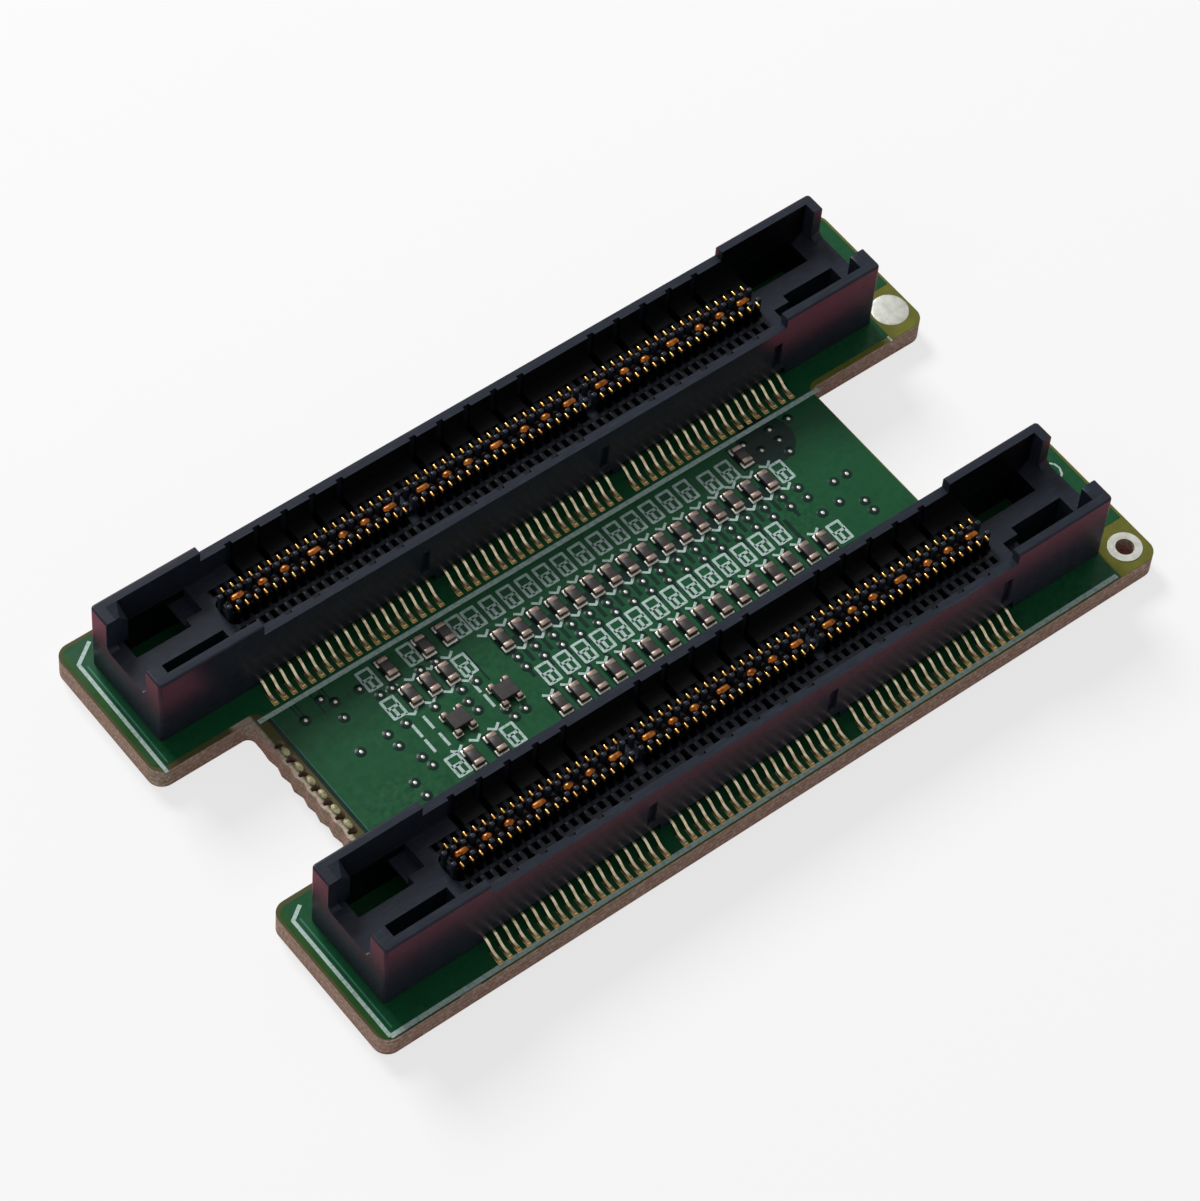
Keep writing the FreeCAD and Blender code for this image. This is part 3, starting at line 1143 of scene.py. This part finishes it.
    def contact_pads(self) -> Object:
        """Place a soldered pad under every contact's foot.

        Returns:
            The pads of both sockets.
        """
        pad = block("pad", (-0.17, 4.05, -SKIN), (0.17, 5.0, 0.03))
        mound = block("mound", (-0.13, 4.3, 0.0), (0.13, 4.93, 0.11))
        pad = join("pad", [soften(pad, 0.02, 1), soften(mound, 0.06, 2)])
        row = in_row(pad, "pads", FIRST_CONTACT + FOOT_SHIFT, CONTACTS)
        row = in_line(row, BANKS, (BANK_PITCH, 0, 0))
        both = join("contact_pads", [row, half_turn(row, "pads")])
        return dress(smooth(in_line(both, 2, (0, SOCKET_STEP, 0))), SOLDER)

    def build(self) -> None:
        """Make every piece of the board and hand it over."""
        hand_over(self.laminate(), "board", "circuit_board")
        top = self.lacquer("lacquer_top", -SKIN, 0.0)
        bare = [
            block("bare", (50.65, -6.0, -0.2), (54.5, -2.1, 0.2)),
            block("bare", (51.0, 15.0, -0.2), (54.5, 18.9, 0.2)),
        ]
        hand_over(dress(carve(top, bare), MASK), "board")
        under = self.lacquer("lacquer_under", -BOARD_THICKNESS, -BOARD_THICKNESS + SKIN)
        under = carve(under, [disc("bore", *self.hole, 1.3, -2.0, -1.0, ROUND)])
        hand_over(dress(under, MASK), "board")
        hand_over(self.print_lines(), "board")
        hand_over(self.marks(), "board")
        for item in self.via_field() + self.lands():
            hand_over(item, "board")
        hand_over(self.traces(), "board")
        hand_over(self.bright_lines(), "board")
        hand_over(self.contact_pads(), "contact")


# Socket housings


def cut(low: Point, high: Point) -> Object:
    """Add a box that is to be cut away."""
    return block("cut", low, high)


@dataclass
class Housing:
    """One moulded housing, the same half a turn round its middle."""

    length: float = 50.8
    width: float = 6.65
    end_height: float = 5.3
    middle_height: float = 4.5
    middle_start: float = 6.95
    pit_start: float = 6.5
    pit_half: float = 2.75
    pit_floor: float = 1.2
    channel: float = 0.68
    trench_half: float = 1.02
    spine_half: float = 0.42
    spine_height: float = 3.2
    bay_floor: float = 2.9
    end_wall: float = 0.65
    corner: float = 0.24
    front_well: tuple = (1.85, 5.95, -0.8)
    rear_well: tuple = (1.05, 4.7, 0.4)
    shelf: tuple = (4.65, 5.8, 0.95, 2.2)
    notch: tuple = (-2.0, 1.75, 0.42)
    gusset_end: float = 1.45
    comb_notch: tuple = (0.45, 0.2)
    comb_groove: tuple = (1.28, 1.78, 1.9)
    fin_width: float = 0.3
    fins: int = 60
    post_width: float = 0.3
    post_sides: tuple = (0.28, 0.56)
    post_top: float = 4.1
    divider: tuple = (0.88, 2.6)
    slit: tuple = (0.95, 1.5)
    mould_slot: tuple = (4.98, 5.58, 1.3, 3.3)

    def pair(self, low: Point, high: Point) -> list[Object]:
        """Return a box to cut away, and its copy half a turn round the housing's middle."""
        first = cut(low, high)
        return [first, half_turn(first, "cut")]

    def billet(self) -> Object:
        """Make the block that the housing is carved from, with rounded corners.

        Returns:
            The block.
        """
        side = self.width / 2
        body = block("housing", (0, -side, 0), (self.length, side, self.end_height))
        round_edges(body, self.corner, 4)
        return round_edges(body, self.corner * 0.6, 3, self.end_height)

    def shell(self) -> Object:
        """Carve the housing out of its billet.

        Returns:
            The carved shell.
        """
        side = self.width / 2
        top = self.end_height + 1
        body = self.billet()
        start, end = self.middle_start, self.length - self.middle_start
        carve(body, [cut((start, -9, self.middle_height), (end, 9, top))])
        start, end, half = self.end_wall, self.length - self.end_wall, self.pit_half
        carve(body, [cut((start, -half, self.bay_floor), (end, half, top))])
        start, end, half = self.pit_start, self.length - self.pit_start, self.trench_half
        trench = cut((start, -half, self.pit_floor), (end, half, top))
        carve(body, [round_edges(trench, 0.5, 5)])
        channels, slits = [], []
        inner = self.spine_half
        far, roof = self.slit
        for number in range(BANKS):
            middle = BANK_PITCH * (number + 1)
            low, high = middle - HALF_BANK, middle + HALF_BANK
            channels.append(cut((low, inner, -1), (high, side + 1, self.channel)))
            channels.append(cut((low, -side - 1, -1), (high, -inner, self.channel)))
            low, high, near = low + NUDGE, high - NUDGE, inner + NUDGE
            slits.append(cut((low, near, -1), (high, far, roof)))
            slits.append(cut((low, -far, -1), (high, -near, roof)))
        carve(body, channels)
        carve(body, slits)
        self.carve_ends(body)
        self.carve_faces(body)
        return body

    def carve_ends(self, body: Object) -> None:
        """Cut the end bays, their wells and the notches in the end walls.

        Args:
            body: The housing.
        """
        top = self.end_height + 1
        half, floor = self.pit_half, self.bay_floor
        inside = half - NUDGE
        start, end, edge = self.front_well
        wells = self.pair((start, -inside, -1), (end, edge, floor + 0.5))
        start, end, edge = self.rear_well
        wells += self.pair((start, edge, -1), (end, inside, floor + 0.5))
        carve(body, wells)
        # The well goes on under the floor of the bay
        low = (end - 0.1, edge + NUDGE, -0.9)
        carve(body, self.pair(low, (self.pit_start - 0.25, inside - NUDGE, 2.0)))
        start, end, edge, height = self.shelf
        carve(body, self.pair((start, edge, height), (end, inside - NUDGE, floor + 0.6)))
        low, high, foot = self.notch
        notch = cut((-2, low, floor + NUDGE / 2), (self.end_wall + 0.6, high, top + 1))
        soften(notch, foot, 4)
        carve(body, [notch, half_turn(notch, "cut")])
        gusset = block(
            "gusset",
            (self.end_wall - 0.15, high + NUDGE, floor - 0.1),
            (self.gusset_end, half + 0.15, self.end_height - 0.01),
        )
        edit(gusset, "SELECT")
        bpy.ops.mesh.bisect(
            plane_co=at(self.gusset_end, half - 0.05, self.end_height),
            plane_no=(0.49, -0.315, 0.43),
            use_fill=True,
            clear_outer=True,
        )
        deselect()
        fuse(body, [gusset])

    def carve_faces(self, body: Object) -> None:
        """Cut the upright slots in the long faces and the deep comb notches.

        Args:
            body: The housing.
        """
        side = self.width / 2
        width, depth = self.comb_notch
        half, deep = width / 2, self.pit_half + depth
        low, high, floor = self.comb_groove
        top, foot = self.end_height + 1, floor + NUDGE
        start, end, sill, lintel = self.mould_slot
        slots, notches = [], []
        for number in range(BANKS):
            middle = BANK_PITCH * (number + 1)
            corner = (middle + end, -side + 0.3, lintel)
            slots += self.pair((middle + start, -side - 1, sill), corner)
            for step in range(-2, 3):
                x = middle + 3 * CONTACT_PITCH * step
                notches.append(cut((x - half, high - 0.1, foot), (x + half, deep, top)))
                notches.append(cut((x - half, -deep, foot), (x + half, 0.1 - high, top)))
        carve(body, slots)
        first = self.first_fin()
        carve(body, self.pair((first, low, floor), (self.length - first, high, top)))
        carve(body, notches)

    def first_fin(self) -> float:
        """Return the place of the comb's first fin along the housing."""
        return SOCKET_MIDDLE - CONTACT_PITCH * (self.fins - 1) / 2

    def spine(self) -> Object:
        """Make the central spine with its round ends, and the bridges between banks.

        Returns:
            The spine with its bridges.
        """
        half, top = self.spine_half, self.spine_height
        start = self.pit_start + half + 0.1
        end = self.length - start
        core = block("spine", (start, -half, NUDGE), (end, half, top))
        ends = [disc("spine", x, 0, half, NUDGE, top, 24) for x in (start, end)]
        ribs = [fuse(core, ends)]
        gap, reach = BANK_PITCH / 2 - HALF_BANK, self.trench_half + NUDGE
        for number in (1.5, 2.5):
            middle = BANK_PITCH * number
            low = (middle - gap, -reach, NUDGE)
            ribs.append(block("bridge", low, (middle + gap, reach, self.bay_floor - NUDGE)))
        return soften(join("spine", ribs), 0.04, 2)

    def posts(self) -> Object:
        """Make the row of posts that stand between the blades.

        Returns:
            The posts.
        """
        half = self.post_width / 2
        low, high = self.post_sides
        post = soften(block("post", (-half, low, 1.0), (half, high, self.post_top)), 0.07, 2)
        reach, top = self.divider
        rib = soften(block("post", (-half, high - 0.1, 1.0), (half, reach, top)), 0.03, 1)
        row = in_row(join("post", [post, rib]), "posts", BANK_PITCH - HALF_BANK, CONTACTS + 1)
        row = in_line(row, BANKS, (BANK_PITCH, 0, 0))
        return join("posts", [row, half_turn(row, "posts")])

    def comb(self) -> Object:
        """Make the fins that part the slots beside the trench.

        Returns:
            The fins.
        """
        half, top = self.fin_width / 2, self.bay_floor - 0.01
        low, high, floor = self.comb_groove
        fin = block("fin", (-half, low - 0.03, floor - 0.05), (half, high + 0.03, top))
        row = in_row(soften(fin, 0.04, 2), "fins", self.first_fin(), self.fins)
        return join("fins", [row, half_turn(row, "fins")])

    def corner_block(self) -> Object:
        """Make the flat-topped block in the front corner of the right end.

        Returns:
            The block.
        """
        wall = self.length - self.end_wall
        low = (wall - 0.4, -self.pit_half - 0.15, self.bay_floor - 0.1)
        high = (wall + 0.15, -self.notch[1] - NUDGE, self.end_height - NUDGE / 4)
        return soften(block("corner_block", low, high), 0.05, 2)

    def finish(self, shell: Object) -> Object:
        """Paint shade on the faces inside the socket's opening: darker plastic in the pit, darkest
        on its rear side and on the rear walls of the end bays.

        Args:
            shell: The housing.

        Returns:
            The same object.
        """
        # Painted shade: faces in the pit take darker plastic, and those on its rear side and on
        # the end bays' rear walls the darkest
        shade_slot, deep_shade_slot = 1, 2
        for material in (PAINTED_SHADE_PLASTIC, PAINTED_DEEP_SHADE_PLASTIC):
            shell.data.materials.append(material)
        inner = self.pit_half + 0.03
        start, end = self.end_wall, self.length - self.end_wall
        for face in shell.data.polygons:
            x, y, z = face.center / MM - DATUM
            if not (start < x < end and abs(y) < inner and z < self.middle_height - 0.1):
                continue
            if y > self.trench_half - 0.06 and self.pit_start < x:
                face.material_index = deep_shade_slot
            elif self.pit_start < x < self.length - self.pit_start:
                face.material_index = shade_slot
            elif y > inner - 0.1:
                face.material_index = deep_shade_slot
        return shell

    def build(self) -> None:
        """Make the housing once and hand over one for each socket."""
        shell = soften(self.shell(), 0.06, 2)
        shell = smooth(join("housing", [shell, self.corner_block()]))
        parts = {
            "housing": self.finish(dress(shell, PLASTIC)),
            "tongue": dress(smooth(join("tongue", [self.spine(), self.posts()])), PLASTIC),
            # Painted shade: the fins in the pit take the darker plastic
            "comb": dress(smooth(self.comb()), PAINTED_SHADE_PLASTIC),
        }
        for socket in Socket:
            for word, part in parts.items():
                piece = copy(part, f"{socket.word}_{word}", (0, socket.value, 0))
                nodes = (f"{socket.word}_socket_housing",) if word == "housing" else ()
                hand_over(piece, "housing", *nodes)
        for part in parts.values():
            bpy.data.objects.remove(part)


# Contacts


@dataclass
class ContactRow:
    """A row of stamped contacts: upright gold blades with tinned tails."""

    thickness: float = 0.16
    blade_thickness: float = 0.11
    blade_inner: float = 0.54
    blade_outer: float = 0.9
    blade_top: float = 4.15
    strip_thickness: float = 0.14
    path: tuple = (
        (0.0, 2.0, 0.55), (FOOT_SHIFT, 3.0, 0.55), (FOOT_SHIFT, 3.42, 0.54),
        (FOOT_SHIFT, 3.6, 0.5), (FOOT_SHIFT, 3.78, 0.4), (FOOT_SHIFT, 3.96, 0.26),
        (FOOT_SHIFT, 4.14, 0.14), (FOOT_SHIFT, 4.34, 0.085), (FOOT_SHIFT, 4.84, 0.08),
    )

    def contact(self) -> Object:
        """Model one contact whose foot points to the rear, at the datum.

        Returns:
            The contact.
        """
        half = self.blade_thickness / 2
        inner, outer, shoulder = self.blade_inner, self.blade_outer, self.blade_top - 0.3
        # Painted shade: the shank below the blade's gold top is near black metal
        shank = block("blade", (-half, inner, 0.46), (half, outer, shoulder))
        dress(shank, PAINTED_SHADE_METAL)
        blade = block("blade", (-half, inner, shoulder), (half, outer, self.blade_top))
        edit(blade, "DESELECT")
        limit = self.blade_top + DATUM.z - 0.01
        choose(blade, lambda place: place.z > limit)
        bpy.ops.mesh.bevel(offset=0.055 * MM, segments=2, affect="EDGES")
        deselect()
        dress(blade, GOLD)
        deselect()
        start = (0.0, self.blade_outer, self.path[0][2])
        bpy.ops.mesh.primitive_plane_add(size=1.0, location=at(*start))
        bpy.context.object.scale = (self.thickness * MM, 0.2 * MM, 1)
        tail = named("tail")
        edit(tail, "DESELECT")
        reach = max(vertex.co.y for vertex in tail.data.vertices) / MM
        choose(tail, lambda place: place.y > reach - 0.01)
        here = Vector((0.0, start[1] + 0.1, start[2]))
        for stop in self.path:
            move = (Vector(stop) - here) * MM
            bpy.ops.mesh.extrude_region_move(TRANSFORM_OT_translate={"value": move})
            here = Vector(stop)
        deselect()
        thick = self.strip_thickness * MM
        apply(tail, "SOLIDIFY", thickness=thick, offset=0.0, use_even_offset=True)
        dress(tail, TIN)
        return join("contact", [blade, shank, tail])

    def build(self) -> None:
        """Model one contact, then copy it to every row of both sockets."""
        contact = smooth(self.contact(), 50)
        row = in_row(contact, "contact_row", FIRST_CONTACT, CONTACTS)
        rows = {Side.REAR: row, Side.FRONT: half_turn(row, "contact_row", BANK_PITCH)}
        for socket in Socket:
            for side, source in rows.items():
                for bank in range(BANKS):
                    place = f"{socket.word}_socket_{side.name.lower()}_contacts_{bank + 1}"
                    piece = copy(source, f"{place}_row", (BANK_PITCH * bank, socket.value, 0))
                    hand_over(piece, "contact", place)
        for source in rows.values():
            bpy.data.objects.remove(source)


@dataclass
class GroundBus:
    """The bronze bar on a bank's spine with its seven tabs."""

    bar_half: float = 0.28
    bar_low: float = 3.2
    bar_high: float = 3.38
    tab_top: float = 4.08
    long_tabs: tuple = (-5.2, 0.0, 5.2)
    round_tabs: tuple = (-3.5, -2.0, 2.0, 3.5)

    def build(self) -> None:
        """Model one bus and copy it to every bank."""
        half, low, high, top = self.bar_half, self.bar_low, self.bar_high, self.tab_top
        # Painted shade: the bar between the tabs is near black metal
        parts = [lump((-5.75, -half, low), (5.75, half, high), 0.05, 2, PAINTED_SHADE_METAL)]
        for x in self.long_tabs:
            parts.append(lump((x - 0.46, -0.23, low), (x + 0.46, 0.23, top), 0.2, 4, BRONZE))
        for x in self.round_tabs:
            ball = dress(dome("tab", (x, 0, top - 0.27), (0.37, 0.28, 0.27), 16), BRONZE)
            stem = lump((x - 0.24, -0.12, low), (x + 0.2, 0.12, top - 0.3), 0.05, 1, BRONZE)
            parts += [ball, stem]
        bus = smooth(join("bus", parts), 50)
        for socket in Socket:
            for bank in range(BANKS):
                place = f"{socket.word}_socket_ground_bus_{bank + 1}"
                piece = copy(bus, f"{place}_bar", (BANK_PITCH * (bank + 1), socket.value, 0))
                hand_over(piece, "bus", place)
        bpy.data.objects.remove(bus)


# Chips on the web


@dataclass
class Chips:
    """The rows of two-terminal chips and the two networks."""

    length: float = 1.35
    width: float = 0.65
    height: float = 0.4
    terminal: float = 0.36
    rows: dict = field(
        default_factory=lambda: {
            "chip_resistors_middle_row": (11.65, 16, (12.95, 14.25, 15.5)),
            "chip_resistors_front_row": (6.35, 16, (13.3, 14.85)),
            "chip_capacitors_rear_row": (13.9, 0, (12.95, 15.5, 16.95, 38.3)),
        }
    )
    networks: tuple = ((14.05, 8.75), (17.3, 8.75))

    def chip(self) -> Object:
        """Model one chip with its terminals and soldered pads, at the datum.

        Returns:
            The chip.
        """
        half, reach, height = self.width / 2, self.length / 2, self.height
        low, high = (-half + 0.01, -reach + 0.1, 0.02), (half - 0.01, reach - 0.1, height - 0.02)
        parts = [lump(low, high, 0.04, 2, CERAMIC)]
        for sign in (-1, 1):
            near, far = sorted((sign * reach, sign * (reach - self.terminal)))
            parts.append(lump((-half, near, 0.0), (half, far, height), 0.06, 2, TERMINAL))
            near, far = sorted((sign * (reach + 0.12), sign * (reach - 0.38)))
            parts.append(lump((-half - 0.09, near, -SKIN), (half + 0.06, far, 0.1), 0.06, 2, LAND))
        return smooth(join("chip", parts), 50)

    def network(self) -> Object:
        """Model one four-terminal network at the datum.

        Returns:
            The network.
        """
        parts = [lump((-0.62, -0.55, 0.02), (0.62, 0.55, 0.5), 0.06, 2, CERAMIC)]
        for x in (-0.5, 0.5):
            for y in (-0.65, 0.65):
                low, high = (x - 0.2, y - 0.2, 0.0), (x + 0.2, y + 0.2, 0.42)
                parts.append(lump(low, high, 0.1, 3, TERMINAL))
                low, high = (x - 0.27, y - 0.25, -SKIN), (x + 0.27, y + 0.25, 0.12)
                parts.append(lump(low, high, 0.07, 2, LAND))
        return smooth(join("network", parts), 50)

    def places(self) -> dict[str, list[Point]]:
        """Place the chips of each row.

        Returns:
            The x and y of every chip, under the row's name.
        """
        return {
            node: line_up(GRID_START, y, count) + [(x, y) for x in extras]
            for node, (y, count, extras) in self.rows.items()
        }

    def build(self) -> None:
        """Copy the chips and networks to their places."""
        chip = self.chip()
        for node, places in self.places().items():
            pieces = [copy(chip, node, (x, y, 0)) for x, y in places]
            hand_over(join(f"{node}_pieces", pieces), "chip", node)
        bpy.data.objects.remove(chip)
        networks = scatter(self.network(), "chip_network_pieces", self.networks)
        hand_over(networks, "chip", "chip_networks")


# Studio


@dataclass
class Studio:
    """Floor, lamps and camera."""

    eye: tuple = (-107.865, -115.975, 224.870)
    ahead: tuple = (0.39177, 0.42566, -0.81568)
    right: tuple = (0.78767, -0.61334, 0.05825)
    lens: float = 145.99
    ambient: float = 0.3
    air: tuple = (0.92, 0.96, 1.0, 1)
    white: tuple = (1, 1, 1, 1)
    floor_paper: tuple = (0.8, 0.78, 0.78, 1)
    floor_glow: float = 0.72
    floor_sheen: tuple = (1.7, 0.36, 0.5, 1)

    def camera(self) -> None:
        """Set the camera where the photograph was taken from."""
        data = bpy.data.cameras.new("camera")
        data.sensor_width = 36.0
        data.sensor_fit = "HORIZONTAL"
        data.lens = self.lens
        data.clip_start = 0.01
        data.clip_end = 10.0
        item = bpy.data.objects.new("camera", data)
        right = Vector(self.right).normalized()
        back = -Vector(self.ahead).normalized()
        up = back.cross(right).normalized()
        turn = Matrix((right, up, back)).transposed().to_4x4()
        item.matrix_world = Matrix.Translation(Vector(self.eye) * MM) @ turn
        bpy.context.scene.collection.objects.link(item)
        bpy.context.scene.camera = item

    def lamp(
        self, name: str, place: Point, size: float, power: float, colour: Point = (1, 1, 1)
    ) -> None:
        """Hang a square soft lamp that faces the object.

        Args:
            name: Name of the lamp.
            place: Its place in metres.
            size: Its side in metres.
            power: Its power in watts.
            colour: Its colour.
        """
        data = bpy.data.lights.new(name, "AREA")
        data.size = size
        data.energy = power
        data.color = colour
        item = bpy.data.objects.new(name, data)
        item.location = place
        item.rotation_euler = (-Vector(place)).to_track_quat("-Z", "Y").to_euler()
        bpy.context.scene.collection.objects.link(item)

    def floor(self) -> None:
        """Lay a pale floor that keeps a soft shadow and gives upright faces a red sheen."""
        deselect()
        bpy.ops.mesh.primitive_plane_add(size=3.0, location=(0, 0, -NUDGE * MM))
        item = named("floor")
        material = bpy.data.materials.new("floor")
        material.use_nodes = True
        mix = Graph(material.node_tree)
        glossy = mix.add("LightPath").outputs["Is Glossy Ray"]
        glow = mix.add("Emission", Color=mix.blend(glossy, self.white, self.floor_sheen))
        paper = mix.add("BsdfDiffuse", Color=self.floor_paper)
        share = mix.combine("MULTIPLY", mix.seen(), self.floor_glow)
        surface = mix.layer(share, paper.outputs["BSDF"], glow.outputs["Emission"])
        mix.add("OutputMaterial", Surface=surface)
        dress(item, material)

    def sky(self) -> None:
        """Light the object evenly, and show white behind it."""
        world = bpy.data.worlds.new("studio")
        world.use_nodes = True
        bpy.context.scene.world = world
        mix = Graph(world.node_tree)
        soft = mix.add("Background", Color=self.air, Strength=self.ambient)
        bright = mix.add("Background", Color=self.white)
        surface = mix.layer(mix.seen(), soft.outputs["Background"], bright.outputs["Background"])
        mix.add("OutputWorld", Surface=surface)

    def build(self) -> None:
        """Set up the whole studio."""
        self.camera()
        self.floor()
        self.sky()
        self.lamp("lamp_behind", (0.03, 0.42, 0.38), 0.18, 3.2)
        self.lamp("lamp_left", (-0.5, -0.1, 0.3), 0.25, 0.3, (1.0, 0.88, 0.88))
        bpy.context.scene.view_settings.view_transform = "Standard"


def main() -> None:
    """Build the classes in order."""
    logging.basicConfig(level=logging.INFO, format="%(message)s")
    Studio().build()
    Board().build()
    Housing().build()
    ContactRow().build()
    GroundBus().build()
    Chips().build()
    deselect()


if __name__ == "__main__":
    main()
